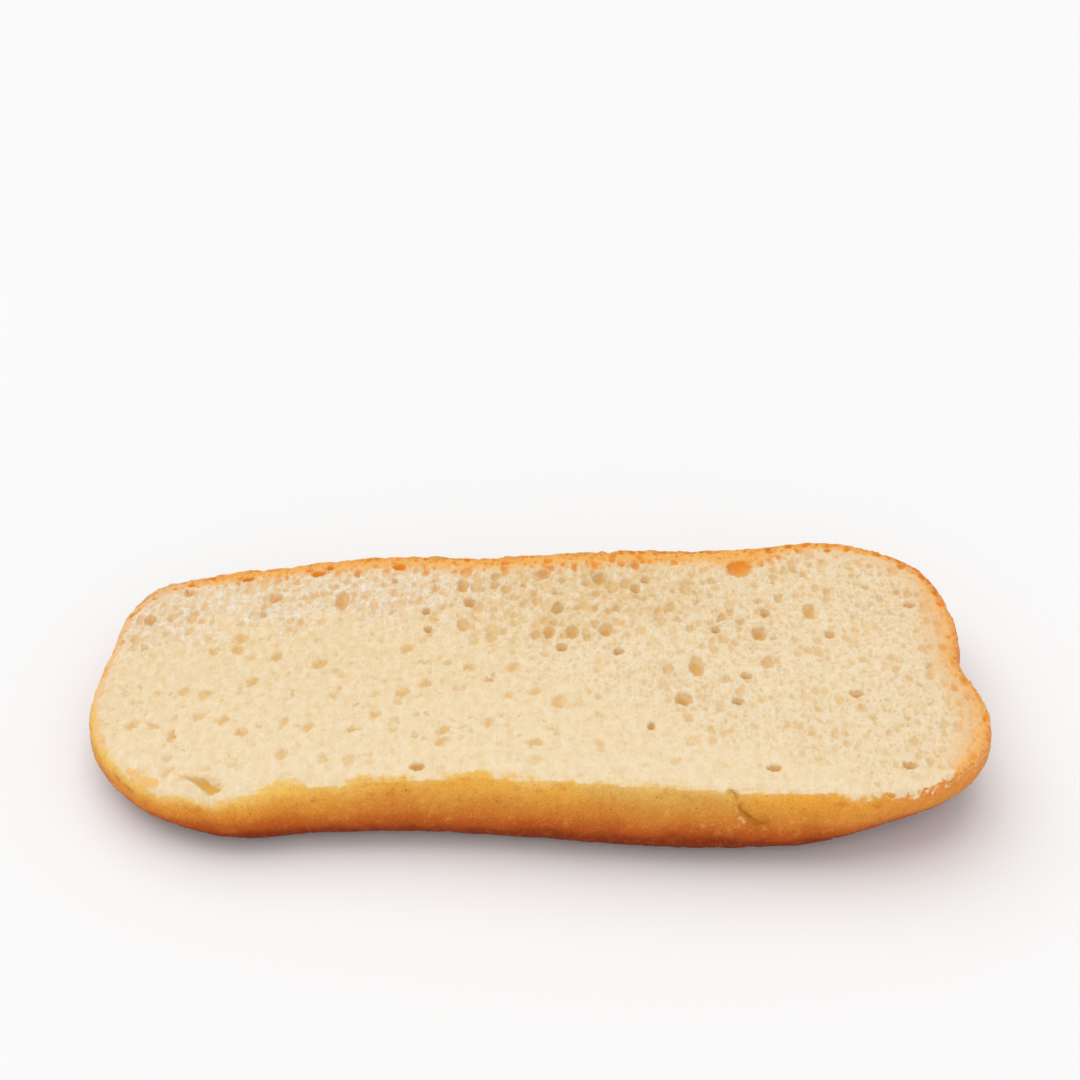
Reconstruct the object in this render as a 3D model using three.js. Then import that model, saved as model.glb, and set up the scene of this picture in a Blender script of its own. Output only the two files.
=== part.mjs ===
// Half a ciabatta, sliced lengthwise with a bread knife and lying on its bottom crust, cut face up.
// Crust and crumb are one baked piece, so the half is one solid.
// Millimetres, +Z up, +X along the loaf. The origin lies on the surface that the loaf rests on, under the
// middle of its box.

import * as THREE from 'three';

// Driving dimensions

const THIN_END_HEIGHT = 17.5; // the knife left this end of the half thinner
const THICK_HEIGHT = 24.3;
const KNIFE_CLIMB_FROM = -118; // where along the loaf the knife starts to leave more crumb
const KNIFE_CLIMB_TO = 22; // and from where on the half keeps its full height
const CUT_WAVE = 0.45; // how far the cut face rises and falls

const FRONT_BULGE = 4.2; // how far the side stands out past the cut rim
const BACK_BULGE = 2.8;
const END_BULGE = 1.8;
const SIDE_UNDERCUT = 7; // how far the resting face stays inside the cut rim
const END_UNDERCUT = 21;
const SIDE_WIDEST_AT = 0.42; // share of the height where the crust stands out most
const END_WIDEST_AT = 0.62;
const END_STARTS_AT = 66; // distance from the middle where the side turns into the rounded end
const END_FULL_AT = 118;

const LIFTED_CORNER = new THREE.Vector2(108, -50); // the crust curls up off the surface here
const LIFTED_REACH = 30;
const LIFTED_UNDERCUT = 25;
const LIFTED_WIDEST_AT = 0.78;
const LIFTED_LEANNESS = 1.2; // over 1, the crust runs under more like a slope than like a round

const HOLLOW_AT = -38; // a shallow hollow under the front edge, from a fold of the dough
const HOLLOW_REACH = 24;
const HOLLOW_DEPTH = 2.6;

const SPINE_HALF_LENGTH = 72; // the middle line that the cut face and the rounded ends are laid out from
const REST_HALF_LENGTH = 66; // plain middle of the resting face
const REST_HALF_WIDTH = 26;

const STEPS_ROUND_RIM = 152;
const STEPS_UPPER_SIDE = 4;
const STEPS_LOWER_SIDE = 6;
const CUT_FACE_RINGS = [0.95, 0.87, 0.76, 0.63, 0.48, 0.32, 0.16];

// The cut rim seen from above: one round end, a long back edge, the end where two lobes of dough met and left
// a notch, and a long front edge.
const RIM_POINTS = [
  [-122.5, -14], [-122, 10], [-119.5, 31], [-113, 41],
  [-96, 46.5], [-74, 49.5], [-45, 51.5], [-14, 49.5], [24, 50.5], [60, 51], [86, 54.5],
  [103, 50], [114.5, 41], [119.5, 24], [120, 8],
  [117.8, -3],
  [120.5, -12], [122.5, -24], [119, -38], [107, -50],
  [90, -54.5], [60, -53.5], [27, -52], [-18, -47.5], [-57, -47], [-84, -49],
  [-104, -43], [-116.5, -30.5],
];

const { clamp, lerp, smoothstep } = THREE.MathUtils;

// Height of the cut face over the resting surface.
function cutHeight(x, y) {
  const climb = smoothstep(x, KNIFE_CLIMB_FROM, KNIFE_CLIMB_TO);
  const wave = Math.sin(x / 23 + y / 31) * Math.cos(y / 17 - x / 58);
  return lerp(THIN_END_HEIGHT, THICK_HEIGHT, climb) + CUT_WAVE * wave;
}

// The rim as evenly spaced points, all at height 0.
function rimPoints() {
  const corners = RIM_POINTS.map(([x, y]) => new THREE.Vector3(x, y, 0));
  const curve = new THREE.CatmullRomCurve3(corners, true, 'centripetal');
  return curve.getSpacedPoints(STEPS_ROUND_RIM).slice(0, STEPS_ROUND_RIM);
}

function spinePoint(rimPoint) {
  return new THREE.Vector3(clamp(rimPoint.x, -SPINE_HALF_LENGTH, SPINE_HALF_LENGTH), 0, 0);
}

// The side of the loaf below one rim point, as distances out from the rim and shares of the height.
function sideProfile(rimPoint) {
  const end = smoothstep(Math.abs(rimPoint.x), END_STARTS_AT, END_FULL_AT);
  const front = rimPoint.y < 0;
  const hollow = front ? HOLLOW_DEPTH * Math.exp(-(((rimPoint.x - HOLLOW_AT) / HOLLOW_REACH) ** 2)) : 0;
  const fromLiftedCorner = LIFTED_CORNER.distanceTo(rimPoint) / LIFTED_REACH;
  const lifted = Math.exp(-(fromLiftedCorner ** 2));
  const bulge = lerp(front ? FRONT_BULGE : BACK_BULGE, END_BULGE, end) * (1 - lifted);
  const undercut = lerp(lerp(SIDE_UNDERCUT, END_UNDERCUT, end), LIFTED_UNDERCUT, lifted) + hollow;
  const widestAt = lerp(lerp(SIDE_WIDEST_AT, END_WIDEST_AT, end), LIFTED_WIDEST_AT, lifted);
  const leanness = lerp(1, LIFTED_LEANNESS, lifted);
  const profile = [];
  for (let step = 0; step < STEPS_UPPER_SIDE; step += 1) {
    const down = step / STEPS_UPPER_SIDE;
    profile.push({ out: bulge * (1 - (1 - down) ** 2), height: lerp(1, widestAt, down) });
  }
  for (let step = 0; step <= STEPS_LOWER_SIDE; step += 1) {
    const angle = (Math.PI / 2) * (step / STEPS_LOWER_SIDE);
    profile.push({
      out: bulge - (bulge + undercut) * (1 - Math.max(Math.cos(angle), 0) ** leanness),
      height: widestAt * (1 - Math.sin(angle) ** leanness),
    });
  }
  return profile;
}

// Rings of points from the cut rim down to the edge of the resting face.
function sideRings(rim) {
  const profiles = rim.map(sideProfile);
  return profiles[0].map((_, level) => rim.map((rimPoint, index) => {
    const { out, height } = profiles[index][level];
    const outward = rimPoint.clone().sub(spinePoint(rimPoint)).normalize();
    const point = rimPoint.clone().addScaledVector(outward, out);
    point.z = height * cutHeight(rimPoint.x, rimPoint.y);
    return point;
  }));
}

// Rings of points on the cut face, from just inside the rim to close to the spine.
function cutFaceRings(rim) {
  return CUT_FACE_RINGS.map((reach) => rim.map((rimPoint) => {
    const point = spinePoint(rimPoint).lerp(rimPoint, reach);
    point.z = cutHeight(point.x, point.y);
    return point;
  }));
}

function buildHalf() {
  const points = [];
  const faces = [];
  const addRing = (ring) => ring.map((point) => points.push(point) - 1);

  function joinRings(upper, lower) {
    for (let i = 0; i < upper.length; i += 1) {
      const next = (i + 1) % upper.length;
      faces.push(upper[i], upper[next], lower[i]);
      faces.push(lower[i], upper[next], lower[next]);
    }
  }

  // The innermost ring is long and narrow: its back half and front half are joined across the spine.
  function closeAcrossSpine(ring) {
    const count = ring.length;
    for (let i = 0; i < count / 2; i += 1) {
      const back = [ring[i], ring[i + 1]];
      const front = [ring[(count - i) % count], ring[count - i - 1]];
      if (back[0] !== front[0]) faces.push(back[0], front[0], back[1]);
      if (back[1] !== front[1]) faces.push(back[1], front[0], front[1]);
    }
  }

  // The resting face lies flat, with a plain rectangle in its middle.
  function closeRestingFace(ring) {
    const [a, b] = [REST_HALF_LENGTH, REST_HALF_WIDTH];
    const middle = [[-a, -b], [a, -b], [a, b], [-a, b]].map(([x, y]) => new THREE.Vector3(x, y, 0));
    const middleRing = addRing(middle);
    const all = [...ring, ...middleRing];
    const edge = ring.map((index) => points[index]);
    for (const [p, q, r] of THREE.ShapeUtils.triangulateShape(edge, [middle])) {
      faces.push(all[p], all[r], all[q]);
    }
    faces.push(middleRing[0], middleRing[2], middleRing[1]);
    faces.push(middleRing[0], middleRing[3], middleRing[2]);
  }

  const rim = rimPoints();
  const side = sideRings(rim).map(addRing);
  const cutFace = cutFaceRings(rim).map(addRing);
  const fromSpineOut = [...cutFace].reverse();
  const levels = [...fromSpineOut, ...side];
  for (let level = 0; level + 1 < levels.length; level += 1) {
    joinRings(levels[level], levels[level + 1]);
  }
  closeAcrossSpine(fromSpineOut[0]);
  closeRestingFace(side[side.length - 1]);

  const geometry = new THREE.BufferGeometry().setFromPoints(points);
  geometry.setIndex(faces);
  geometry.computeBoundingBox();
  const middle = geometry.boundingBox.getCenter(new THREE.Vector3());
  geometry.translate(-middle.x, -middle.y, -geometry.boundingBox.min.z);
  geometry.computeVertexNormals();
  return geometry;
}

// The crust seen from below and around is golden brown, and the solid wears that one colour.
const bakedBread = new THREE.MeshStandardMaterial({ color: '#dba558', roughness: 0.75, metalness: 0 });

const ciabattaHalf = new THREE.Mesh(buildHalf(), bakedBread);
ciabattaHalf.name = 'ciabatta_half';

const model = new THREE.Group();
model.add(ciabattaHalf);

export default model;
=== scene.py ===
# Half a ciabatta, cut lengthwise and laid on its bottom crust with the crumb showing.
# Metres, +Z up, +X along the loaf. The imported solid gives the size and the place, and this file bakes the
# looks on it. Places in comments and in tables are in millimetres.
import math

import bmesh
import bpy
import numpy as np
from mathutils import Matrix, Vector, kdtree


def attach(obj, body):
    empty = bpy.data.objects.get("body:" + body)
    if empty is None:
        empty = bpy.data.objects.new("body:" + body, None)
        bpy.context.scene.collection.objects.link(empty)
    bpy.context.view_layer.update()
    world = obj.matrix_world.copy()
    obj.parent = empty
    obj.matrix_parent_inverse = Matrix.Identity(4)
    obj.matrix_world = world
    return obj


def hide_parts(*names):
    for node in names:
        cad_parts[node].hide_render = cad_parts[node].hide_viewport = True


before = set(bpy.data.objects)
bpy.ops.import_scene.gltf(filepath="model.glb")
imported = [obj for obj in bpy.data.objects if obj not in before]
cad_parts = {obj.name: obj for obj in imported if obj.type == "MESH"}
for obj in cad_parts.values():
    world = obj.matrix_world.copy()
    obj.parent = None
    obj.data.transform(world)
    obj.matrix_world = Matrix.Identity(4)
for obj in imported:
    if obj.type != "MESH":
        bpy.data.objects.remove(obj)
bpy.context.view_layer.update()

scene = bpy.context.scene
MM = 0.001


# ---------------------------------------------------------------------------------------------------------
# The dough
# Flour, water, salt and yeast, baked as one slack piece: a thin crust all round and open crumb inside.
# The half is the solid's own shape with a fine skin: finest over the crumb, where the bread's cells are,
# and coarse underneath, where it baked flat.

CRUST_STEP = 1.15 * MM
RIM_SAMPLE = 0.5 * MM
CUT_FACE_TURN = 0.75        # a face that looks up more than this belongs to the cut face
LEVEL_TURN = 0.9            # the solid's own cut face looks up more than this right to the rim
UNDERSIDE_TURN = -0.995     # and a face of the underside looks down at least this much
UNDERSIDE_TOP = 0.4 * MM    # no part of the underside is higher than this
SLIVER = 1e-8               # square metres: a face under this is too thin to say which way it looks
WELD = 1e-6                 # corners of the solid that are closer than this are one

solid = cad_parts["ciabatta_half"]


def plain_copy(source, name):
    """A copy of an object's mesh with its doubled corners merged, as an object of its own."""
    mesh = source.data.copy()
    mesh.name = name
    mesh.materials.clear()
    shape = bmesh.new()
    shape.from_mesh(mesh)
    bmesh.ops.remove_doubles(shape, verts=shape.verts, dist=WELD)
    shape.to_mesh(mesh)
    shape.free()
    made = bpy.data.objects.new(name, mesh)
    scene.collection.objects.link(made)
    return made


def evaluated(thing):
    """Turns an object's modifiers into plain mesh and takes them off."""
    graph = bpy.context.evaluated_depsgraph_get()
    finished = thing.evaluated_get(graph)
    mesh = bpy.data.meshes.new_from_object(finished, preserve_all_data_layers=True, depsgraph=graph)
    thing.modifiers.clear()
    thing.data = mesh
    return thing


def rim_of(thing):
    """Points every half millimetre round the sharp edge between the cut face and the crust, in order."""
    shape = bmesh.new()
    shape.from_mesh(thing.data)
    shape.normal_update()
    neighbours = {}
    for edge in shape.edges:
        turns = sorted(face.normal.z for face in edge.link_faces if face.calc_area() > SLIVER)
        if len(turns) == 2 and turns[1] > LEVEL_TURN and turns[0] < CUT_FACE_TURN:
            for corner, other in (edge.verts, reversed(edge.verts)):
                neighbours.setdefault(corner, []).append(other)
    first = max(neighbours, key=lambda corner: corner.co.y)
    walk = [first, neighbours[first][0]]
    while walk[-1] is not first:
        walk.append(next(other for other in neighbours[walk[-1]] if other is not walk[-2]))
    found = []
    for start, end in zip(walk, walk[1:]):
        steps = max(1, math.ceil((end.co - start.co).length / RIM_SAMPLE))
        found += [start.co.lerp(end.co, step / steps) for step in range(steps)]
    shape.free()
    return found


def thin_the_base(shape, step):
    """Takes every second line out of the grid that the skin makes on the flat underside."""
    low_x = min(corner.co.x for corner in shape.verts)
    low_y = min(corner.co.y for corner in shape.verts)
    spare = []

    def is_under(face):
        return face.normal.z < UNDERSIDE_TURN and face.calc_center_median().z < UNDERSIDE_TOP

    for edge in shape.edges:
        if all(is_under(face) for face in edge.link_faces):
            lines = [(round((c.co.x - low_x) / step), round((c.co.y - low_y) / step)) for c in edge.verts]
            (start_x, start_y), (end_x, end_y) = lines
            if (start_x == end_x and start_x % 2) or (start_y == end_y and start_y % 2):
                spare.append(edge)
    bmesh.ops.dissolve_edges(shape, edges=spare, use_verts=True)


bread = plain_copy(solid, "ciabatta_half_baked")
rim_points = rim_of(bread)

skin = bread.modifiers.new("skin", "REMESH")
skin.mode = "VOXEL"
skin.voxel_size = CRUST_STEP
evaluated(bread)

shape = bmesh.new()
shape.from_mesh(bread.data)
shape.normal_update()
thin_the_base(shape, CRUST_STEP)
shape.normal_update()
crumb_faces = [face for face in shape.faces if face.normal.z > CUT_FACE_TURN]
crumb_edges = list({edge for face in crumb_faces for edge in face.edges})
bmesh.ops.subdivide_edges(shape, edges=crumb_edges, cuts=1, use_grid_fill=True)
bmesh.ops.triangulate(shape, faces=[face for face in shape.faces if len(face.verts) > 4])
shape.to_mesh(bread.data)
shape.free()

rim_tree = kdtree.KDTree(len(rim_points))
for index, point in enumerate(rim_points):
    rim_tree.insert(point, index)
rim_tree.balance()


def smoothstep(low, high, value):
    share = np.clip((value - low) / (high - low), 0, 1)
    return share * share * (3 - 2 * share)


def numbers(items, name, width):
    found = np.empty(len(items) * width, np.float32)
    items.foreach_get(name, found)
    return found.reshape(-1, width)


def keep_numbers(mesh, name, values):
    """Stores one number per corner point of the mesh under a name, for the relief and the finish to read."""
    layer = mesh.attributes.new(name, "FLOAT", "POINT")
    layer.data.foreach_set("value", np.ascontiguousarray(values, np.float32))


places = numbers(bread.data.vertices, "co", 3)
turns = numbers(bread.data.vertex_normals, "vector", 3)
nearest = [rim_tree.find(place) for place in places]
nearest_rim = np.array([found[1] for found in nearest])
from_rim = np.array([found[2] for found in nearest]) / MM
on_cut = smoothstep(0.55, 0.8, turns[:, 2])
rim_mm = np.where(turns[:, 2] > 0.68, from_rim, -from_rim)
keep_numbers(bread.data, "cut_face", on_cut)
keep_numbers(bread.data, "rim_mm", rim_mm)

# Where crumb turns to crust, measured from the rim in mm at places along the front: over 0 the crust's skin
# laps onto the cut face, under 0 the crumb shows below the rim.
FRONT_BORDER = [
    (-118, 0), (-106, -0.8), (-101, -1.9), (-92, -1.8), (-83, -2.0), (-76, -0.6), (-70, 0.6), (-66.5, 2.7),
    (-61, 2.3), (-57, 0.4), (-50, -0.2), (-44, 0.8), (-38, 1.3), (-29, 0), (-20, 1.4), (-12, 0.6), (-3, -0.3),
    (17, 0), (38, 0), (51, -0.5), (66, -0.3), (76, -1.0), (84, -1.5), (98, -1.6), (108, -0.8), (120, 0),
]
border_x, border_shift = zip(*FRONT_BORDER)
in_front = smoothstep(-20, -36, places[:, 1] / MM)
lapped = np.interp(places[:, 0] / MM, border_x, border_shift) * in_front
keep_numbers(bread.data, "border_mm", rim_mm - lapped)


# ---------------------------------------------------------------------------------------------------------
# Marks of this one half
# The slit that the knife opened at the front left, the torn lip and flap beside it, the crease where the
# dough folded at the front right, and the seam of the two lobes. Each is a path in mm with its half width.

MARKS = {
    "slit": ([(-93.5, -41.6, 18.2), (-90, -42.8, 18.2), (-86.5, -44.2, 18.4), (-83.8, -46.2, 18.4)],
             (0.5, 1.1, 2.3, 2.7)),
    "lip": ([(-94, -44.6, 18), (-89.5, -46.3, 18), (-85.5, -48.6, 17.4)], (0.9, 1.3, 1.0)),
    "flap": ([(-69.3, -46.6, 19.2), (-65, -46.2, 19.4), (-60.5, -46.6, 19.6)], (1.1, 2.1, 1.6)),
    "scrap": ([(-107.5, -39.6, 17.6), (-104, -42.4, 17.6), (-100, -44.4, 17.6)], (1.2, 2.2, 1.6)),
    "fold": ([(-113.2, -36.2, 15.6), (-110.8, -38.9, 13.7), (-106.4, -43.0, 13.2)], (0.5, 0.9, 0.5)),
    "crease": ([(51, -53.2, 23.7), (52.3, -53.9, 22.3), (53.1, -55, 20.2), (53.7, -55.7, 18.3),
                (55.6, -56.2, 16.7), (58.5, -56.8, 14.4), (60.8, -56.7, 15.1)],
               (0.5, 0.9, 0.8, 0.9, 1.0, 1.9, 0.9)),
    "ruffle": ([(52.3, -55, 19.6), (52.8, -55.8, 17.6), (54.5, -56.4, 15.6)], (0.5, 0.9, 0.8)),
    "seam": ([(118.6, -5, 24.5), (115.6, -10.7, 24.5), (114.4, -19, 24.5), (115.5, -31, 24.5)],
             (2.4, 2.2, 1.8, 1.0)),
}
OUTSIDE = -3.0              # what is kept for every place that is well away from a mark
FAR_OUT = -9.0


def depth_into(path, half_widths):
    """1 on a path and 0 at its half width from it, for every corner point; under 0 farther out."""
    best = np.full(len(places), FAR_OUT)
    spots = places / MM
    corners = [np.array(corner, float) for corner in path]
    for start, end, wide, wider in zip(corners, corners[1:], half_widths, half_widths[1:]):
        run = end - start
        share = np.clip((spots - start) @ run / (run @ run), 0, 1)
        away = np.linalg.norm(spots - start - share[:, None] * run, axis=1)
        best = np.maximum(best, 1 - away / (wide + (wider - wide) * share))
    return best


for name, (path, half_widths) in MARKS.items():
    keep_numbers(bread.data, name, np.maximum(depth_into(path, half_widths), OUTSIDE))


# ---------------------------------------------------------------------------------------------------------
# The crumb's cells
# Gas in the slack dough leaves round cells of every size. The knife opened them on the right and along the
# back, and smeared the moist crumb shut at the front and on the left. The same rule sinks the cells into the
# mesh and colours them.

# Cells big enough to count one by one: place along and across the loaf, half width and half length, in mm.
BIG_CELLS = [
    (61.5, 41, 3.8, 4.2), (64.5, 10.5, 2.2, 3.3), (45.5, -4.5, 2.0, 4.3), (41, -18, 2.4, 2.6),
    (11, 11, 2.0, 3.0), (4.5, 11.3, 1.9, 2.8), (20.7, 12, 2.0, 3.0), (7, 22, 1.9, 2.9),
    (3, 39.5, 2.3, 2.4), (19.5, 36.5, 2.0, 3.3), (30, 31.5, 1.5, 2.3), (33, 35.5, 1.4, 1.8),
    (-56.5, 30, 2.2, 4.2), (-76.7, 33.5, 2.0, 2.8), (-113, 25.5, 1.9, 2.5), (-30.2, -42.5, 2.1, 1.5),
    (-31.4, 23.3, 1.4, 2.0), (-30.4, 15, 1.3, 1.6), (-21, 35, 1.9, 3.6), (-18.7, 26.5, 1.7, 2.4),
    (24, 2, 1.6, 1.5), (8, 4.3, 1.6, 2.2), (84.6, 10, 1.4, 1.9), (80, 21, 1.9, 3.9),
    (109.4, 23.8, 1.8, 1.4), (59, -8.2, 1.6, 1.3), (67, 20, 1.3, 2.2), (52, 11.7, 1.3, 2.0),
    (-86.4, 43.5, 1.9, 1.6), (-65, 44.4, 2.3, 1.8), (-40.7, 45.8, 2.0, 1.9), (63, -45, 2.0, 1.4),
    (31.8, -28.8, 1.1, 1.9), (88.6, -15.8, 1.9, 1.6), (98.5, -44.2, 2.2, 1.5), (56, -18.7, 1.7, 1.5),
]
BIG_CELL_DEPTH = 2.3
CELL_SEED = 7.0             # picks the stretch of the endless pattern that the smear's edge is read from
HOLLOW_SEED = 9.7           # and the stretch for the hollows in the smear

# Soft oval patches of the cut face: the middle in mm, and how far each reaches along and across the loaf
CROWDED_PATCH = ((12.0, 27.0), (48.0, 22.0))        # cells lie closer together here
TORN_PATCH = ((-80.0, 34.0), (64.0, 20.0))          # and here the crumb pulled apart into fibres

# How far apart the scattered hollows are, and the fibres between them, in mm
SMALL_CELLS = 1.5
MEDIUM_CELLS = 3.2
CROWDED_CELLS = 4.7
LARGE_CELLS = 7.5
SMEAR_HOLLOWS = 5.6
SMEAR_DENTS = 2.3
LONG_FIBRES = 3.1
FINE_FIBRES = 1.5

# Share of the finest cells' half width that they are deep, in the mesh and in the colour
FINEST_IN_MESH = 0.24
FINEST_IN_COLOUR = 0.68


class Wiring:
    """Adds nodes to a tree, and joins or sets their sockets."""

    def __init__(self, tree):
        self.tree = tree

    def add(self, kind, sockets=None, **settings):
        node = self.tree.nodes.new(kind)
        for name, value in settings.items():
            setattr(node, name, value)
        for name, value in (sockets or {}).items():
            self.feed(node.inputs[name], value)
        return node

    def feed(self, socket, value):
        if isinstance(value, bpy.types.NodeSocket):
            self.tree.links.new(value, socket)
        elif value is not None:
            socket.default_value = value

    def math(self, operation, *values, clamp=False):
        node = self.add("ShaderNodeMath", dict(enumerate(values)), operation=operation, use_clamp=clamp)
        return node.outputs[0]

    def total(self, first, *others):
        for other in others:
            first = self.math("ADD", first, other)
        return first

    def product(self, first, *others):
        for other in others:
            first = self.math("MULTIPLY", first, other)
        return first

    def most(self, first, *others):
        for other in others:
            first = self.math("MAXIMUM", first, other)
        return first

    def rest(self, share):
        """What is left of 1."""
        return self.math("SUBTRACT", 1.0, share, clamp=True)

    def vector(self, operation, *values):
        node = self.add("ShaderNodeVectorMath", dict(enumerate(values)), operation=operation)
        return node.outputs["Value" if operation == "LENGTH" else "Vector"]

    def scaled(self, vector, by):
        return self.add("ShaderNodeVectorMath", {0: vector, "Scale": by}, operation="SCALE").outputs["Vector"]

    def parts(self, vector):
        return self.add("ShaderNodeSeparateXYZ", {0: vector}).outputs

    def ease(self, value, low, high, to_low=0.0, to_high=1.0):
        sockets = {"Value": value, "From Min": low, "From Max": high, "To Min": to_low, "To Max": to_high}
        return self.add("ShaderNodeMapRange", sockets, interpolation_type="SMOOTHSTEP").outputs["Result"]

    def blend(self, share, low, high):
        """Mixes two colours."""
        sockets = {0: share, 6: low, 7: high}
        return self.add("ShaderNodeMix", sockets, data_type="RGBA").outputs[2]

    def between(self, share, low, high):
        """Mixes two numbers."""
        return self.add("ShaderNodeMix", {0: share, 2: low, 3: high}).outputs[0]

    def elsewhere(self, place, seed):
        """The same place in another part of an endless pattern, so that each use of it differs."""
        return self.vector("ADD", place, self.scaled((31.7, -17.3, 7.1), seed))

    def noise(self, place, scale, detail=2.0, roughness=0.5, seed=0.0, flat=False):
        place = self.elsewhere(place, seed)
        sockets = {"Vector": place, "Scale": scale, "Detail": detail, "Roughness": roughness}
        return self.add("ShaderNodeTexNoise", sockets, noise_dimensions="2D" if flat else "3D").outputs

    def drift(self, place, scale, reach, detail=2.0, seed=0.0, flat=False):
        """A number that wanders by about this much to both sides of 0."""
        wander = self.math("SUBTRACT", self.noise(place, scale, detail, seed=seed, flat=flat)["Fac"], 0.5)
        return self.math("MULTIPLY", wander, 2.0 * reach)

    def bent(self, place, scale, reach, seed):
        """The place moved sideways by about this much, so that a pattern read there is bent."""
        found = self.noise(place, scale, 2.0, seed=seed, flat=True)["Color"]
        wander = self.vector("SUBTRACT", found, (0.5, 0.5, 0.5))
        return self.vector("ADD", place, self.vector("MULTIPLY", wander, (2 * reach, 2 * reach, 0.0)))

    def cells(self, place, scale, feature="F1", seed=0.0, flat=False):
        sockets = {"Vector": self.elsewhere(place, seed), "Scale": scale, "Randomness": 1.0}
        space = "2D" if flat else "3D"
        return self.add("ShaderNodeTexVoronoi", sockets, voronoi_dimensions=space, feature=feature).outputs

    def bowl(self, share, edge=0.7):
        """A round hollow: 1 in the middle, 0 from share 1 on. An edge over 1 is soft, and under 1 crisp."""
        inside = self.math("SUBTRACT", 1.0, self.math("MULTIPLY", share, share), clamp=True)
        return self.math("POWER", inside, edge)

    def patch(self, x, y, centre, reach):
        """1 in the middle of a soft oval patch, 0 outside it."""
        across = self.math("DIVIDE", self.math("SUBTRACT", x, centre[0]), reach[0])
        along = self.math("DIVIDE", self.math("SUBTRACT", y, centre[1]), reach[1])
        far = self.total(self.math("MULTIPLY", across, across), self.math("MULTIPLY", along, along))
        return self.ease(far, 0.35, 1.6, 1.0, 0.0)


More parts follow.
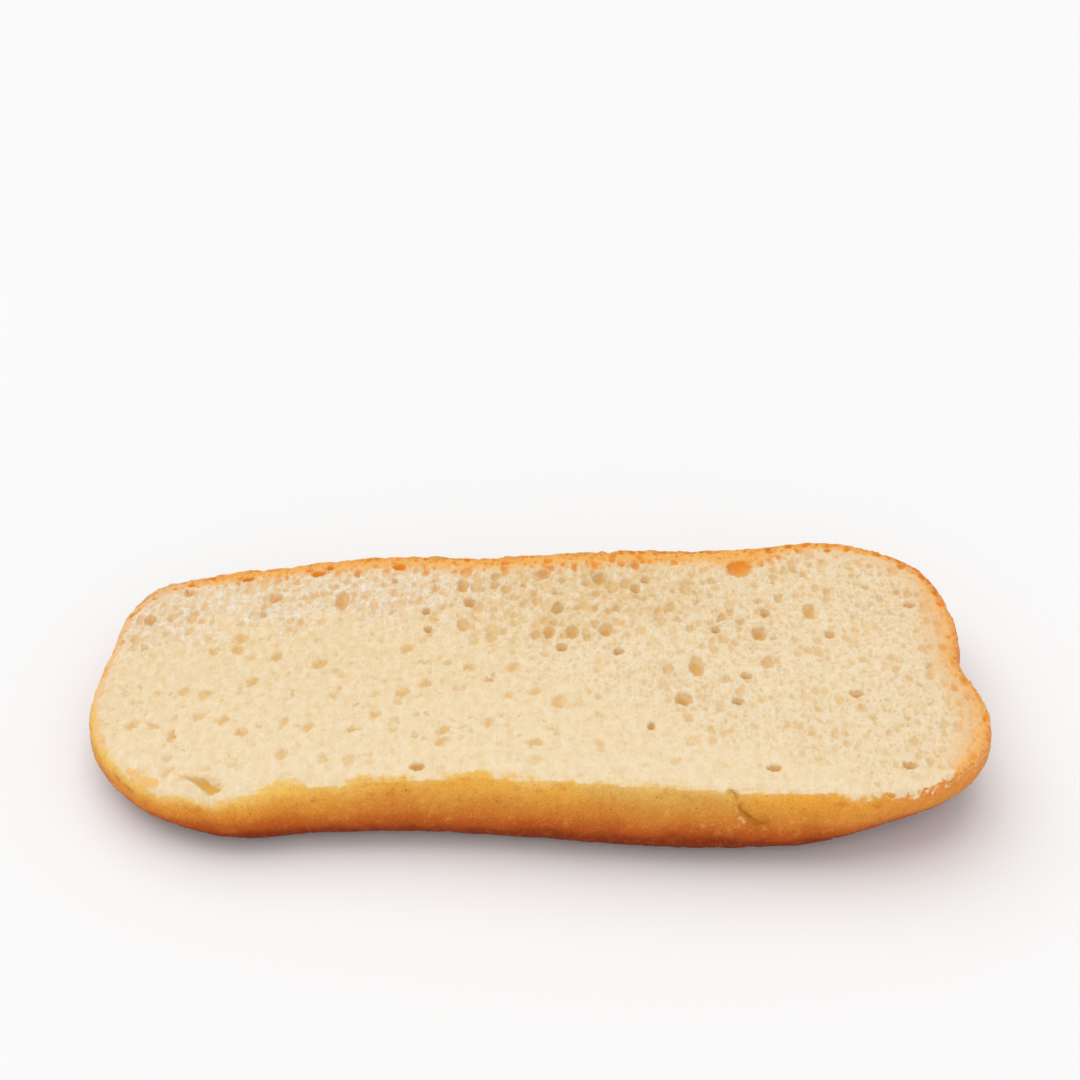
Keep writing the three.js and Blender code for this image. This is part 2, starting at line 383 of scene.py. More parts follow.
def crumb_pattern(w, x, y, rim, big_away, seed, finest):
    """From a place on the cut face in mm: the cells' depth in mm, the share of smear, and the raised fibres.
    The finest cells are sunk by this share of their own half width."""
    level = w.add("ShaderNodeCombineXYZ", {"X": x, "Y": y}).outputs[0]
    flat = w.vector("MULTIPLY", level, (1.08, 0.74, 1.0))        # the gas stretched across the loaf

    # the knife smeared what lies in front of this line, which runs from the back left to the front right
    line = w.ease(x, -55.0, 95.0, 23.0, -49.0)
    line = w.math("SUBTRACT", line, w.ease(x, -94.0, -118.0, 0.0, 15.0))
    ahead = w.math("SUBTRACT", w.total(y, w.drift(level, 0.07, 24.0, 4.0, seed, True)), line)
    reach = w.ease(x, -60.0, 20.0, 9.0, 21.0)
    smear = w.ease(w.math("DIVIDE", ahead, reach), 0.8, -1.1)

    eased = w.bent(flat, 0.3, 0.9, 3.0)
    ragged = w.bent(eased, 1.3, 0.32, 11.0)
    softly = w.bent(eased, 1.3, 0.14, 11.0)

    def layer(place, spacing, smallest, largest, layer_seed, edge=0.8):
        """Round hollows about this far apart. Half widths are shares of the spacing, and none under 0."""
        found = w.cells(place, 1.0 / spacing, seed=layer_seed, flat=True)
        own = w.parts(found["Color"])
        radius = w.between(own[0], smallest * spacing, largest * spacing)
        share = w.math("DIVIDE", w.math("MULTIPLY", found["Distance"], spacing), w.most(radius, 0.001))
        return w.product(w.bowl(share, edge), w.most(radius, 0.0), w.between(own[1], 0.45, 1.15))

    small = layer(softly, SMALL_CELLS, 0.25, 0.75, 1.3, 1.4)
    medium = layer(ragged, MEDIUM_CELLS, -0.2, 0.6, 2.6, 1.3)
    large = layer(ragged, LARGE_CELLS, -0.75, 0.3, 5.1)
    crowded = w.patch(x, y, *CROWDED_PATCH)
    crowd = layer(ragged, CROWDED_CELLS, -0.05, 0.52, 12.4, 1.1)
    clear = w.ease(big_away, 1.0, 1.5)
    opened = w.most(
        w.math("MULTIPLY", small, finest),
        w.product(medium, w.ease(y, 5.0, 28.0, 0.58, 0.85), w.between(clear, 0.4, 1.0)),
        w.product(large, 0.65, clear),
        w.product(crowd, 0.88, crowded, clear),
    )

    # in the smear: shallow hollows, steep on the side that the knife came from, and thin drag marks, all
    # fainter towards the front edge
    drawn = w.vector("MULTIPLY", w.bent(flat, 0.35, 1.3, 8.0), (0.85, 1.22, 1.0))
    drawn = w.bent(drawn, 1.0, 1.0, 4.0)
    found = w.cells(drawn, 1 / SMEAR_HOLLOWS, seed=HOLLOW_SEED, flat=True)
    own = w.parts(found["Color"])
    radius = w.between(own[0], -1.1, 2.4)
    share = w.math("DIVIDE", w.math("MULTIPLY", found["Distance"], SMEAR_HOLLOWS), w.most(radius, 0.001))
    from_middle = w.parts(w.vector("SUBTRACT", w.elsewhere(drawn, HOLLOW_SEED), found["Position"]))
    slant = w.math("MULTIPLY", w.math("SUBTRACT", from_middle[0], from_middle[1]), 0.55)
    steep = w.ease(w.math("DIVIDE", slant, w.most(radius, 0.001)), -1.1, 0.4, 0.2, 1.0)
    hollows = w.product(w.bowl(share, 0.9), steep, w.most(radius, 0.0), 0.48)
    dents = w.math("MULTIPLY", layer(drawn, SMEAR_DENTS, -0.25, 0.44, 6.2, 1.1), 0.6)
    drag = w.ease(w.noise(flat, 0.45, 4.0, 0.65, 2.0, True)["Fac"], 0.38, 0.66, 0.14, 0.0)
    smeared = w.math("MULTIPLY", w.most(hollows, dents, drag), w.ease(y, -46.0, -32.0, 0.45, 1.0))

    depth = w.between(smear, opened, smeared)
    rag = w.total(big_away, w.drift(flat, 0.7, 0.3, 3.0, 5.0, True))
    depth = w.most(depth, w.math("MULTIPLY", w.bowl(rag), BIG_CELL_DEPTH))
    depth = w.math("MULTIPLY", depth, w.ease(rim, -0.2, 1.2))

    # torn fibres stand up where the crumb pulled apart along the back left
    torn = w.math("MULTIPLY", w.patch(x, y, *TORN_PATCH), w.rest(smear))
    threads = w.ease(w.cells(softly, 1 / LONG_FIBRES, "DISTANCE_TO_EDGE", 1.9, True)["Distance"], 0.12, 0.0)
    finer = w.ease(w.cells(softly, 1 / FINE_FIBRES, "DISTANCE_TO_EDGE", 3.9, True)["Distance"], 0.18, 0.0)
    fibre = w.most(threads, w.math("MULTIPLY", finer, 0.6))
    fibre = w.product(fibre, w.between(smear, 1.0, 0.35), w.ease(depth, 0.55, 0.1))
    return depth, smear, fibre, torn


def named_value(wiring, name, default):
    socket = wiring.tree.interface.new_socket(name, in_out="INPUT", socket_type="NodeSocketFloat")
    socket.default_value = default


def apply_tree(thing, tree, values):
    """Runs a geometry tree on an object with these values and leaves plain mesh."""
    modifier = thing.modifiers.new(tree.name, "NODES")
    modifier.node_group = tree
    for item in tree.interface.items_tree:
        if item.in_out == "INPUT" and item.name in values:
            modifier[item.identifier] = values[item.name]
    return evaluated(thing)


# The big cells' middles, as loose points that carry their half sizes.
cell_marks = bpy.data.meshes.new("big_cells")
cell_marks.from_pydata([(x * MM, y * MM, 0) for x, y, _, _ in BIG_CELLS], [], [])
half_sizes = cell_marks.attributes.new("half_size", "FLOAT_VECTOR", "POINT")
sizes_in_row = [value for *_, across, along in BIG_CELLS for value in (across, along, 1)]
half_sizes.data.foreach_set("vector", sizes_in_row)
cell_marker = bpy.data.objects.new("big_cells", cell_marks)
scene.collection.objects.link(cell_marker)


def relief_tree():
    """Sinks the cells into the cut face and works the crust's lumps and wrinkles out along its normals."""
    tree = bpy.data.node_groups.new("bread_relief", "GeometryNodeTree")
    tree.interface.new_socket("Geometry", in_out="INPUT", socket_type="NodeSocketGeometry")
    tree.interface.new_socket("Geometry", in_out="OUTPUT", socket_type="NodeSocketGeometry")
    tree.interface.new_socket("Big cells", in_out="INPUT", socket_type="NodeSocketObject")
    tree.interface.new_socket("Finish", in_out="INPUT", socket_type="NodeSocketMaterial")
    w = Wiring(tree)
    for name, default in (
        ("Seed", 0.0), ("Fibre height", 0.3), ("Lump height", 0.6), ("Wrinkle height", 0.28),
        ("Grain height", 0.09), ("Base hollows", 0.35),
    ):
        named_value(w, name, default)
    given = w.add("NodeGroupInput").outputs
    position = w.add("GeometryNodeInputPosition").outputs[0]
    normal = w.add("GeometryNodeInputNormal").outputs[0]
    place = w.scaled(position, 1 / MM)
    split = w.parts(place)
    x, y = split["X"], split["Y"]

    def kept(name, kind="FLOAT"):
        return w.add("GeometryNodeInputNamedAttribute", {"Name": name}, data_type=kind).outputs[0]

    cut, rim = kept("cut_face"), kept("rim_mm")

    # how far each place is from the nearest big cell, in that cell's own half widths
    marks = w.add("GeometryNodeObjectInfo", {"Object": given["Big cells"]}).outputs["Geometry"]
    level = w.vector("MULTIPLY", w.bent(place, 0.3, 0.5, 3.0), (MM, MM, 0.0))
    closest = w.add("GeometryNodeSampleNearest", {"Geometry": marks, "Sample Position": level}).outputs[0]
    sizes = kept("half_size", "FLOAT_VECTOR")
    at = w.add("GeometryNodeSampleIndex", {"Geometry": marks, "Value": position, "Index": closest},
               data_type="FLOAT_VECTOR").outputs[0]
    half = w.add("GeometryNodeSampleIndex", {"Geometry": marks, "Value": sizes, "Index": closest},
                 data_type="FLOAT_VECTOR").outputs[0]
    away = w.vector("DIVIDE", w.scaled(w.vector("SUBTRACT", level, at), 1 / MM), half)
    big_away = w.math("MINIMUM", w.vector("LENGTH", away), 2.0)

    depth, smear, fibre, torn = crumb_pattern(w, x, y, rim, big_away, given["Seed"], FINEST_IN_MESH)

    # the cut face rounds over at the crust, most along the back
    reach = w.ease(y, 15.0, 45.0, 2.5, 7.0)
    shoulder = w.rest(w.math("DIVIDE", w.most(rim, 0.0), reach))
    droop = w.product(shoulder, shoulder, w.ease(y, 15.0, 45.0, 0.6, 1.5))
    swell = w.drift(place, 0.09, 0.5, 3.0, 6.0)
    outer = w.most(w.ease(y, 15.0, 40.0), w.ease(x, 94.0, 112.0))
    rough_rim = w.product(w.drift(place, 0.45, 1.5, 3.0, 26.0), w.ease(rim, 5.0, 0.5), w.most(outer, 0.5))
    slit = w.math("MULTIPLY", w.bowl(w.rest(w.total(kept("slit"), w.drift(place, 0.6, 0.4, 2.0, 30.0)))),
                  w.ease(x, -94.0, -86.0, 0.6, 2.4))
    raised = w.total(
        w.math("MULTIPLY", w.ease(kept("flap"), 0.0, 0.7), 0.8),
        w.math("MULTIPLY", w.ease(kept("lip"), 0.0, 0.8), 0.5),
        w.product(w.ease(kept("scrap"), 0.0, 0.8), w.noise(place, 0.7, 2.0, seed=27.0)["Fac"], 1.2),
        w.product(fibre, w.between(torn, 0.5, 1.0), given["Fibre height"]),
    )
    sunk = w.most(depth, w.product(slit, w.ease(rim, -2.0, 0.0)))
    up = w.total(w.math("SUBTRACT", swell, sunk), raised, rough_rim, w.math("MULTIPLY", droop, -1.0))
    up = w.math("MULTIPLY", up, cut)

    # the crust, apart from the underside, which the baking stone kept flat
    free = w.math("MULTIPLY", w.rest(cut), w.ease(w.parts(normal)["Z"], -0.97, -0.7))
    lumps = w.math("MULTIPLY", w.drift(place, 0.05, 1.0, 2.0, 21.0), given["Lump height"])
    folds = w.math("ABSOLUTE", w.drift(w.vector("MULTIPLY", place, (0.8, 1.0, 1.7)), 0.14, 1.0, 3.0, 22.0))
    wrinkles = w.math("MULTIPLY", w.ease(folds, 0.0, 0.16, -1.0, 0.0), given["Wrinkle height"])
    grain = w.math("MULTIPLY", w.drift(place, 0.6, 1.0, 3.0, 23.0), given["Grain height"])
    crease = w.math("MULTIPLY", w.ease(kept("crease"), 0.0, 0.9), w.ease(x, 50.5, 58.0, -0.9, -1.7))
    ruffle = w.math("MULTIPLY", w.ease(kept("ruffle"), 0.0, 0.9), 0.5)
    fold = w.math("MULTIPLY", w.ease(kept("fold"), 0.0, 0.9), -0.6)
    toothed = w.product(w.drift(place, 0.5, 0.7, 3.0, 29.0), outer, w.ease(rim, -7.0, -1.0))
    outward = w.math("MULTIPLY", w.total(lumps, wrinkles, grain, crease, ruffle, fold, toothed), free)

    # shallow hollows in the underside, from flour and steam
    under = w.product(w.rest(cut), w.ease(w.parts(normal)["Z"], -0.7, -0.97))
    hollow = w.ease(w.noise(place, 0.11, 3.0, 0.6, 24.0)["Fac"], 0.5, 0.72)
    lift = w.product(hollow, given["Base hollows"], under)

    offset = w.scaled(normal, w.math("MULTIPLY", outward, MM))
    rise = w.math("MULTIPLY", w.total(up, lift), MM)
    offset = w.vector("ADD", offset, w.add("ShaderNodeCombineXYZ", {"Z": rise}).outputs[0])

    away_too = {"Geometry": given["Geometry"], "Name": "big_away", "Value": big_away}
    stored = w.add("GeometryNodeStoreNamedAttribute", away_too, data_type="FLOAT", domain="POINT").outputs[0]
    moved = w.add("GeometryNodeSetPosition", {"Geometry": stored, "Offset": offset}).outputs[0]
    smooth = w.add("GeometryNodeSetShadeSmooth", {"Geometry": moved}).outputs[0]
    single = w.add("GeometryNodeRealizeInstances", {"Geometry": smooth}).outputs[0]
    finished = w.add("GeometryNodeSetMaterial", {"Geometry": single, "Material": given["Finish"]}).outputs[0]
    w.add("NodeGroupOutput", {"Geometry": finished})
    return tree


# ---------------------------------------------------------------------------------------------------------
# The finish of crumb and crust
# Cream crumb, darker towards the back as painted shade, with tan in its cells that is partly the crumb's tint
# and partly painted shade deepening with each cell's depth, and toasted orange next to the crust. The crust
# goes from yellow at the cut down to brown at the base, partly browning and partly painted shade low on the
# side, is brighter along the back with a painted glow of light through it, and has flour and bran specks, and
# satin from its starch.

# How high the cut face is in mm, at the thin end and from the middle on, and where it climbs along the loaf
THIN_END_HEIGHT = 17.5
THICK_HEIGHT = 24.3
KNIFE_CLIMB = (-118.0, 22.0)

# More soft patches, with their middle and their reach in mm
DIM_PATCH = ((14.0, 30.0), (36.0, 19.0))            # the crumb is browner in the crowded middle
TOASTED_PATCH = ((61.5, 44.0), (7.0, 8.0))          # and toasted farther in beside the biggest cell
OLIVE_PATCH = ((34.0, 22.0), (22.0, 7.0))           # along and up the front of the crust
FRAYED_PATCH = ((104.0, -48.0), (20.0, 12.0))       # the curled corner's edge

# The darker bands down the crust, partly browning and partly painted shade low on the side: where each starts
# and where it is full, in shares of the side's height
BROWNING_AND_SHADE_BANDS = [
    (0.7, 0.46, (0.52, 0.10, 0.012, 1)),
    (0.5, 0.3, (0.25, 0.030, 0.004, 1)),
    (0.28, 0.08, (0.13, 0.018, 0.003, 1)),
]


def bread_finish():
    made = bpy.data.materials.new("baked_bread")
    made.use_nodes = True
    made.node_tree.nodes.clear()
    w = Wiring(made.node_tree)
    place = w.scaled(w.add("ShaderNodeTexCoord").outputs["Object"], 1 / MM)
    split = w.parts(place)
    x, y, z = split["X"], split["Y"], split["Z"]

    def kept(name):
        return w.add("ShaderNodeAttribute", attribute_name=name).outputs["Fac"]

    rim, cut = kept("rim_mm"), kept("cut_face")
    depth, smear, fibre, torn = crumb_pattern(w, x, y, w.total(rim, 1.8), kept("big_away"), CELL_SEED,
                                              FINEST_IN_COLOUR)

    # crumb
    mottle = w.noise(w.vector("MULTIPLY", place, (1.0, 0.66, 1.0)), 0.4, 5.0, 0.66, flat=True)["Fac"]
    broad = w.noise(place, 0.04, 2.0, seed=1.0, flat=True)["Fac"]
    wall_and_back_shade = w.blend(w.ease(broad, 0.4, 0.6), (0.915, 0.72, 0.45, 1), (0.895, 0.69, 0.42, 1))
    # this line and the next make the crumb darker towards the back: painted shade of a light from the front
    wall_and_back_shade = w.blend(w.ease(y, -10.0, 32.0, 0.0, 0.45), wall_and_back_shade, (0.83, 0.60, 0.33, 1))
    paste_and_back_shade = w.blend(w.ease(y, -48.0, 25.0), (0.88, 0.70, 0.44, 1), (0.84, 0.64, 0.37, 1))
    cream = w.blend(smear, wall_and_back_shade, paste_and_back_shade)
    cream = w.blend(w.ease(mottle, 0.42, 0.68, 0.0, 0.6), cream, (0.94, 0.78, 0.55, 1))
    cream = w.blend(w.ease(mottle, 0.52, 0.3, 0.0, 0.42), cream, (0.83, 0.60, 0.31, 1))
    cream = w.blend(w.math("MULTIPLY", fibre, 0.7), cream, (0.96, 0.83, 0.62, 1))
    pale = w.blend(w.ease(mottle, 0.34, 0.66), (0.84, 0.67, 0.47, 1), (0.96, 0.89, 0.78, 1))
    dim = w.product(w.patch(x, y, *DIM_PATCH), w.ease(mottle, 0.62, 0.38, 0.1, 0.6))
    cream = w.blend(dim, cream, (0.80, 0.56, 0.28, 1))
    cream = w.blend(w.math("MULTIPLY", torn, w.most(w.math("MULTIPLY", fibre, 1.4), 0.06)), cream, pale)
    cell_tan_and_shade = w.blend(w.ease(broad, 0.42, 0.58), (0.79, 0.48, 0.165, 1), (0.73, 0.43, 0.14, 1))
    cell_tan_and_shade = w.blend(torn, cell_tan_and_shade, (0.82, 0.47, 0.18, 1))
    cell_tan_and_shade = w.blend(smear, cell_tan_and_shade, (0.80, 0.49, 0.18, 1))
    # the cells' colour grows with their depth: partly the crumb's tan inside them, partly painted shade in
    # the hollows
    hollow = w.most(w.ease(depth, 0.0, 0.8, 0.0, 0.46), w.ease(depth, 0.5, 2.3))
    deep = w.between(smear, hollow, w.ease(depth, 0.0, 1.05, 0.0, 0.95))
    crumb = w.blend(deep, cream, cell_tan_and_shade)
    speck = w.cells(place, 0.33, seed=13.0, flat=True)
    few = w.ease(w.parts(speck["Color"])[0], 0.6, 0.65)
    spot = w.math("MULTIPLY", w.ease(speck["Distance"], 0.12, 0.05), few)
    crumb = w.blend(w.math("MULTIPLY", spot, 0.7), crumb, (0.90, 0.56, 0.16, 1))

    # toasted next to the crust: widest along the back, thin at the ends, least in front
    behind = w.ease(y, 22.0, 46.0)
    right = w.math("MULTIPLY", w.ease(x, 98.0, 116.0), w.ease(y, -52.0, -42.0))
    width = w.product(behind, w.ease(x, 66.0, 84.0, 11.0, 4.5), w.ease(x, -90.0, -40.0, 0.8, 1.0))
    width = w.most(width, w.math("MULTIPLY", right, 6.2), w.ease(y, -36.0, -22.0, 0.3, 2.6))
    width = w.total(width, w.math("MULTIPLY", w.patch(x, y, *TOASTED_PATCH), 4.5))
    tooth = w.math("MULTIPLY", w.drift(place, 0.45, 3.2, 3.0, 2.0, True), w.ease(width, 0.5, 4.0, 0.1, 1.0))
    edge = w.rest(w.math("DIVIDE", w.total(rim, tooth), width))
    seam = w.math("MULTIPLY", w.ease(kept("seam"), -0.4, 0.9), 0.55)
    ridge = w.blend(w.ease(edge, 0.1, 0.8), (0.93, 0.60, 0.28, 1), (0.97, 0.49, 0.13, 1))
    toast = w.math("MULTIPLY", w.ease(edge, 0.0, w.between(right, 0.55, 0.95)), w.ease(width, 0.3, 1.6))
    ridge = w.blend(w.ease(x, -98.0, -112.0), ridge, (0.88, 0.57, 0.29, 1))
    pores = w.ease(w.noise(place, 0.9, 3.0, 0.6, 33.0)["Fac"], 0.42, 0.58)
    browned = w.blend(pores, (0.76, 0.27, 0.055, 1), (0.93, 0.50, 0.20, 1))
    ridge = w.blend(w.math("MULTIPLY", right, w.ease(rim, 2.5, -0.5)), ridge, browned)
    # darker orange the deeper the cells near the crust go: painted shade in the hollows over the toasted
    # colour
    toasted_with_cell_shade = w.blend(w.ease(depth, 0.05, 0.75), ridge, (0.90, 0.32, 0.035, 1))
    warm = w.math("MULTIPLY", w.ease(rim, 14.0, 1.0), w.most(behind, right))
    # the warm tint is stronger in the cells: partly painted shade
    tinted = w.ease(depth, -0.2, 0.7, w.between(right, 0.25, 0.78), 0.75)
    crumb = w.blend(w.math("MULTIPLY", warm, tinted), crumb, (0.89, 0.50, 0.20, 1))
    crumb = w.blend(w.most(toast, w.math("MULTIPLY", seam, w.ease(depth, -0.3, 0.6))), crumb, toasted_with_cell_shade)
    torn_edge = w.drift(place, 0.7, 0.9, 3.0, 27.0)
    # inside the knife's slit, darker orange where the slit is deeper: partly the crumb's colour there, partly
    # painted shade
    slit_tint_and_shade = w.blend(w.ease(x, -93.0, -86.0), (0.85, 0.58, 0.27, 1), (0.74, 0.43, 0.10, 1))
    slit = w.total(kept("slit"), w.math("MULTIPLY", torn_edge, 0.7))
    crumb = w.blend(w.ease(slit, 0.0, 0.7), crumb, slit_tint_and_shade)
    tuft = w.total(kept("scrap"), w.drift(place, 0.35, 1.6, 3.0, 34.0))
    crumb = w.blend(w.ease(tuft, 0.0, 0.8, 0.0, 0.85), crumb, (0.95, 0.55, 0.18, 1))

    # crust, from the cut down to the base
    top_z = w.ease(x, *KNIFE_CLIMB, THIN_END_HEIGHT, THICK_HEIGHT)
    height = w.total(w.math("DIVIDE", z, top_z), w.drift(place, 0.07, 0.14, 4.0, 4.0))
    height = w.total(height, w.ease(y, 10.0, 40.0, 0.0, 0.12))
    sway = w.ease(w.drift(place, 0.06, 1.0, 2.0, 14.0), -0.25, 0.25)
    yellow = w.blend(sway, (0.90, 0.49, 0.095, 1), (0.90, 0.45, 0.07, 1))
    olive = w.patch(x, z, *OLIVE_PATCH)
    yellow = w.blend(w.math("MULTIPLY", olive, 0.8), yellow, (0.77, 0.46, 0.11, 1))
    yellow = w.blend(w.ease(x, 40.0, 70.0, 0.0, 0.8), yellow, (0.94, 0.42, 0.045, 1))
    yellow = w.blend(w.ease(x, -40.0, -66.0, 0.0, 0.8), yellow, (1.0, 0.60, 0.13, 1))
    # the crust brighter yellow-orange along the back: painted glow of light shining through it from behind
    yellow = w.blend(w.ease(y, 10.0, 35.0), yellow, (0.98, 0.53, 0.13, 1))
    right_side = w.math("MULTIPLY", w.ease(x, 80.0, 104.0), w.ease(z, 7.0, 15.0))
    yellow = w.blend(right_side, yellow, (0.88, 0.32, 0.07, 1))
    orange = w.blend(w.ease(x, 60.0, 85.0), (0.70, 0.25, 0.034, 1), (0.76, 0.28, 0.04, 1))
    orange = w.blend(w.ease(x, -30.0, -70.0), orange, (0.77, 0.28, 0.034, 1))
    crust = w.blend(w.ease(height, 0.95, 0.66), yellow, orange)
    # darker towards the base: partly browning, partly painted shade low on the side near the table
    for start, full, baked in BROWNING_AND_SHADE_BANDS:
        crust = w.blend(w.ease(height, start, full), crust, baked)
    # fewer dark specks along the top of the back, which keeps that painted glow clear
    plain = w.between(w.math("MULTIPLY", w.ease(y, 20.0, 40.0), w.ease(height, 0.85, 1.05)), 1.0, 0.2)
    blotch = w.noise(place, 0.35, 5.0, 0.7, 15.0)["Fac"]
    above_base = w.ease(height, 0.3, 0.6)
    dark_blotch = w.math("MULTIPLY", plain, w.ease(blotch, 0.5, 0.72, 0.0, 0.5))
    crust = w.blend(dark_blotch, crust, (0.56, 0.14, 0.018, 1))
    light_blotch = w.product(w.ease(blotch, 0.47, 0.3, 0.0, 0.3), above_base)
    crust = w.blend(light_blotch, crust, (0.95, 0.52, 0.12, 1))
    peppery = w.noise(place, 1.9, 3.0, 0.7, 28.0)["Fac"]
    dark_pepper = w.math("MULTIPLY", plain, w.ease(peppery, 0.5, 0.7, 0.0, 0.35))
    crust = w.blend(dark_pepper, crust, (0.52, 0.13, 0.014, 1))
    light_pepper = w.product(w.ease(peppery, 0.48, 0.3, 0.0, 0.35), above_base)
    crust = w.blend(light_pepper, crust, (0.98, 0.54, 0.12, 1))
    bran = w.cells(place, 0.5, seed=16.0)
    rare = w.ease(w.parts(bran["Color"])[0], 0.6, 0.65)
    bran_spot = w.math("MULTIPLY", w.ease(bran["Distance"], 0.16, 0.07), rare)
    crust = w.blend(w.product(bran_spot, plain, 0.7), crust, (0.30, 0.08, 0.02, 1))
    flour = w.cells(place, 1.3, seed=17.0)
    most = w.ease(w.parts(flour["Color"])[0], 0.35, 0.6)
    flour_spot = w.math("MULTIPLY", w.ease(flour["Distance"], 0.3, 0.12), most)
    floured = w.product(flour_spot, w.ease(height, 0.85, 0.4), w.ease(x, -60.0, 10.0, 0.15, 0.4))
    crust = w.blend(floured, crust, (0.80, 0.32, 0.07, 1))
    # darker in the sunken crease: painted shade
    crust = w.blend(w.ease(kept("crease"), 0.1, 0.9, 0.0, 0.5), crust, (0.50, 0.17, 0.015, 1))
    flaked = w.ease(w.total(kept("ruffle"), torn_edge), 0.1, 0.7, 0.0, 0.7)
    crust = w.blend(flaked, crust, (0.86, 0.52, 0.22, 1))
    # darker in the sunken fold at the left end: painted shade
    crust = w.blend(w.ease(kept("fold"), 0.0, 0.8, 0.0, 0.7), crust, (0.66, 0.20, 0.05, 1))
    flap = w.ease(w.total(kept("flap"), torn_edge), 0.1, 0.6, 0.0, 0.8)
    crust = w.blend(flap, crust, (0.97, 0.58, 0.16, 1))

    # underside, browned on the stone and floured
    scorched = w.noise(place, 0.07, 5.0, 0.65, 18.0)["Fac"]
    base = w.blend(w.ease(scorched, 0.34, 0.66), (0.52, 0.21, 0.055, 1), (0.27, 0.075, 0.016, 1))
    near_side = w.ease(w.total(rim, w.drift(place, 0.1, 14.0, 3.0, 31.0)), -52.0, -28.0)
    base = w.blend(near_side, base, (0.17, 0.03, 0.006, 1))
    dust = w.noise(place, 0.8, 6.0, 0.75, 19.0)["Fac"]
    strewn = w.noise(place, 0.045, 3.0, 0.6, 32.0)["Fac"]
    dusted = w.product(w.ease(dust, 0.46, 0.7), w.ease(strewn, 0.4, 0.62, 0.15, 0.8))
    base = w.blend(dusted, base, (0.80, 0.62, 0.42, 1))
    crust = w.blend(w.ease(z, 1.4, 0.25), crust, base)

    # the crumb's colour laps over the crust by the rim's own raggedness, and farther at the back and the ends
    ragged = w.total(w.drift(place, 0.16, 3.0, 3.0, 8.0), w.drift(place, 0.6, 1.7, 3.0, 9.0))
    right_end = w.math("MULTIPLY", w.ease(x, 98.0, 112.0), w.ease(y, -52.0, -40.0))
    outer = w.most(w.ease(y, 5.0, 30.0), right_end)
    border = w.total(kept("border_mm"), w.between(outer, ragged, w.math("MULTIPLY_ADD", ragged, 0.7, 2.4)))
    corner = w.patch(x, y, *FRAYED_PATCH)
    border = w.total(border, w.math("MULTIPLY", corner, w.drift(place, 0.55, 6.0, 4.0, 35.0)))
    creamy = w.math("MULTIPLY", w.ease(border, -3.2, -0.2, 0.0, 0.6), w.ease(x, 30.0, 80.0, 1.0, 0.1))
    crust = w.blend(w.math("MULTIPLY", creamy, w.rest(outer)), crust, (0.92, 0.62, 0.21, 1))
    on_crumb = w.ease(border, -0.9, 0.9)
    colour = w.blend(on_crumb, crust, crumb)

    # small relief under the mesh's own
    grain = w.noise(place, 2.0, 4.0, 0.65)["Fac"]
    crumb_relief = w.total(
        w.math("MULTIPLY", grain, w.between(smear, 0.35, 0.25)),
        w.math("MULTIPLY", fibre, w.between(smear, 0.15, 0.05)),
        w.math("MULTIPLY", w.math("MINIMUM", depth, 0.6), -0.2),
    )
    crust_relief = w.math("MULTIPLY", w.noise(place, 1.0, 4.0, 0.66, 20.0)["Fac"], 0.55)
    relief = w.between(on_crumb, crust_relief, crumb_relief)
    bump = w.add("ShaderNodeBump", {"Height": relief, "Strength": 0.8, "Distance": 1.0 * MM}).outputs[0]

    satin = w.ease(w.noise(place, 0.4, 3.0, seed=25.0)["Fac"], 0.3, 0.7, 0.45, 0.62)
    shader = w.add("ShaderNodeBsdfPrincipled", {
        "Base Color": colour, "Roughness": w.between(on_crumb, satin, 0.9), "Normal": bump,
        "Specular IOR Level": 0.06, "Subsurface Weight": w.math("MULTIPLY", on_crumb, 0.25),
        "Subsurface Radius": (1.0, 0.55, 0.3), "Subsurface Scale": 1.0 * MM,
    })
    w.add("ShaderNodeOutputMaterial", {"Surface": shader.outputs[0]})
    return made


apply_tree(bread, relief_tree(), {"Big cells": cell_marker, "Seed": CELL_SEED, "Finish": bread_finish()})
bpy.data.objects.remove(cell_marker)


# The bread's own flat layout, in shares of one square: the cut face on top at full width, the crust below it
# in four strips that follow the rim, and the underside at the bottom.

LOAF_LENGTH = 248
TOP_MIDDLE = (0.5, 0.775)
TOP_SCALE = 0.98 / LOAF_LENGTH      # shares of the square per mm
STRIP_SCALE = 0.0029
STRIPS = 4
STRIP_START = 0.01
FIRST_ROW = 0.32
ROW_STEP = 0.11
BASE_MIDDLE = (0.5, 0.157)
BASE_SCALE = 0.003
BASE_TOP = 0.3              # mm: a face of crust that is lower than this belongs to the underside


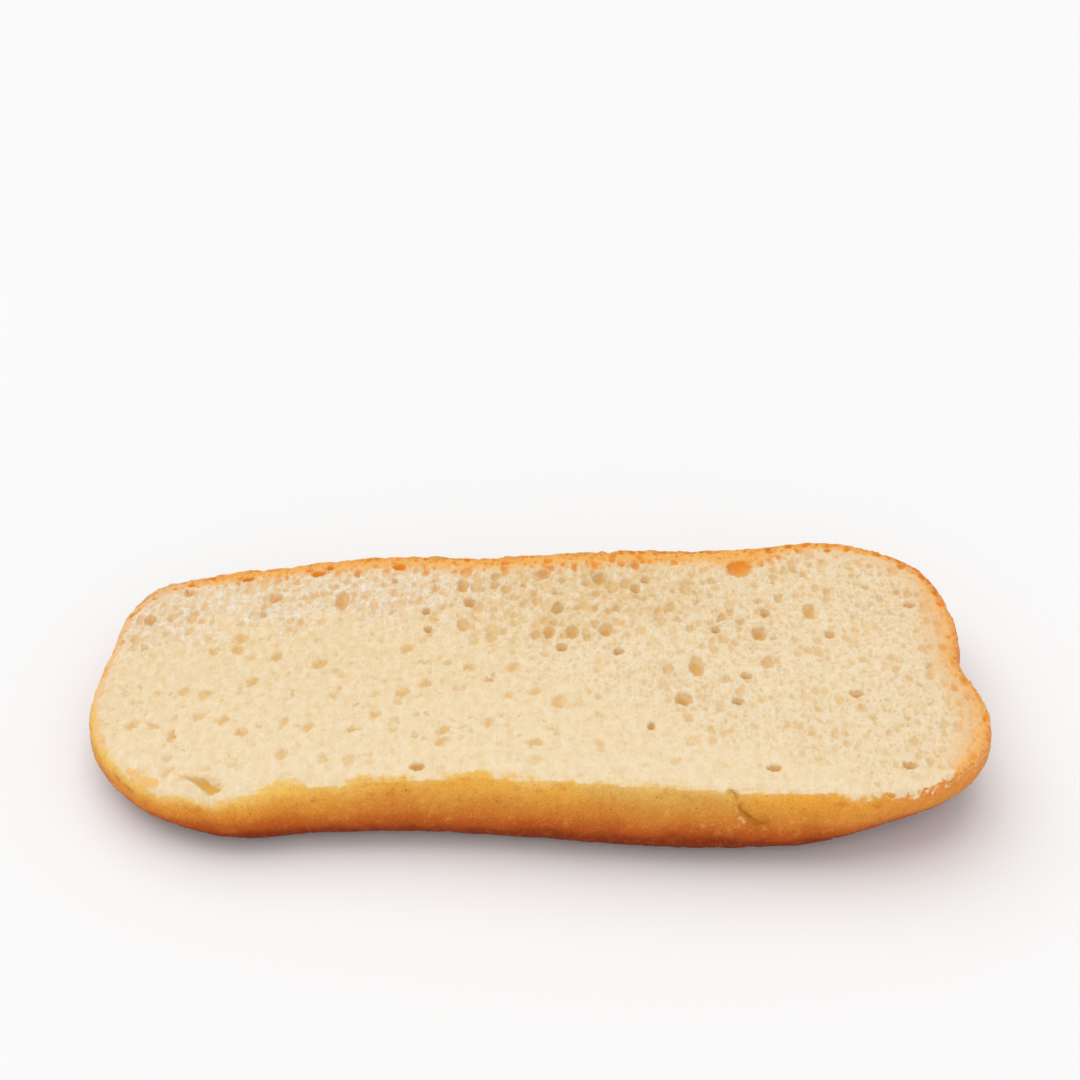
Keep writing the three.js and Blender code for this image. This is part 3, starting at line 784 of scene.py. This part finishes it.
def lay_flat(mesh):
    corners = numbers(mesh.loops, "vertex_index", 1).astype(int).ravel()
    starts = numbers(mesh.polygons, "loop_start", 1).astype(int).ravel()
    counts = numbers(mesh.polygons, "loop_total", 1).astype(int).ravel()
    owner = np.repeat(np.arange(len(starts)), counts)
    spots = places[corners] / MM
    round_rim = nearest_rim[corners] * (RIM_SAMPLE / MM)
    whole = len(rim_points) * (RIM_SAMPLE / MM)
    below = from_rim[corners]

    def mean(values):
        return np.add.reduceat(values, starts) / counts

    top = mean(on_cut[corners]) > 0.5
    under = (mean(spots[:, 2]) < BASE_TOP) & ~top
    first = round_rim[starts][owner]
    round_rim = round_rim - whole * np.round((round_rim - first) / whole)
    lowest = np.minimum.reduceat(round_rim, starts)
    strip = np.clip(np.floor(lowest / (whole / STRIPS)), 0, STRIPS - 1)[owner]
    flat = np.empty((len(corners), 2))
    flat[:, 0] = STRIP_START + 0.5 * (strip % 2) + (round_rim - strip * whole / STRIPS) * STRIP_SCALE
    flat[:, 1] = FIRST_ROW + ROW_STEP * (strip // 2) + below * STRIP_SCALE
    on_top, on_base = top[owner], under[owner]
    flat[on_top] = TOP_MIDDLE + spots[on_top, :2] * TOP_SCALE
    flat[on_base] = BASE_MIDDLE + spots[on_base, :2] * BASE_SCALE
    layer = mesh.uv_layers.new(name="OFBake")
    layer.data.foreach_set("uv", flat.astype(np.float32).ravel())


lay_flat(bread.data)
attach(bread, "root")
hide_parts("ciabatta_half")


# ---------------------------------------------------------------------------------------------------------
# The studio
# A pale table under a big soft light high behind the bread, a weaker one in front, and a pale room. The
# camera looks down on the front edge of the half.

def studio_floor():
    mesh = bpy.data.meshes.new("table_top")
    half = 20.0
    corners = [(-half, -half, 0), (half, -half, 0), (half, half, 0), (-half, half, 0)]
    mesh.from_pydata(corners, [], [(0, 1, 2, 3)])
    floor = bpy.data.objects.new("table_top", mesh)
    scene.collection.objects.link(floor)
    made = bpy.data.materials.new("pale_table")
    made.use_nodes = True
    shader = made.node_tree.nodes["Principled BSDF"]
    shader.inputs["Base Color"].default_value = (0.93, 0.93, 0.93, 1)
    shader.inputs["Roughness"].default_value = 0.9
    mesh.materials.append(made)


def broad_light(name, comes_from, strength, spread):
    light = bpy.data.lights.new(name, "SUN")
    light.energy = strength
    light.angle = math.radians(spread)
    lamp = bpy.data.objects.new(name, light)
    lamp.rotation_euler = Vector(comes_from).to_track_quat("Z", "Y").to_euler()
    scene.collection.objects.link(lamp)


studio_floor()
broad_light("high", (-0.25, 0.35, 0.9), 1.3, 75)
broad_light("front", (0.1, -0.9, 0.45), 0.75, 80)

room = bpy.data.worlds.new("pale_room")
room.use_nodes = True
room.node_tree.nodes["Background"].inputs["Color"].default_value = (1, 1, 1, 1)
room.node_tree.nodes["Background"].inputs["Strength"].default_value = 0.55
scene.world = room
scene.view_settings.view_transform = "Standard"

camera = bpy.data.cameras.new("camera")
camera.lens = 60.67
camera.sensor_width = 36
viewer = bpy.data.objects.new("camera", camera)
viewer.location = (0.00185, -0.39425, 0.35106)
viewer.rotation_euler = (math.radians(54), 0, 0)
scene.collection.objects.link(viewer)
scene.camera = viewer
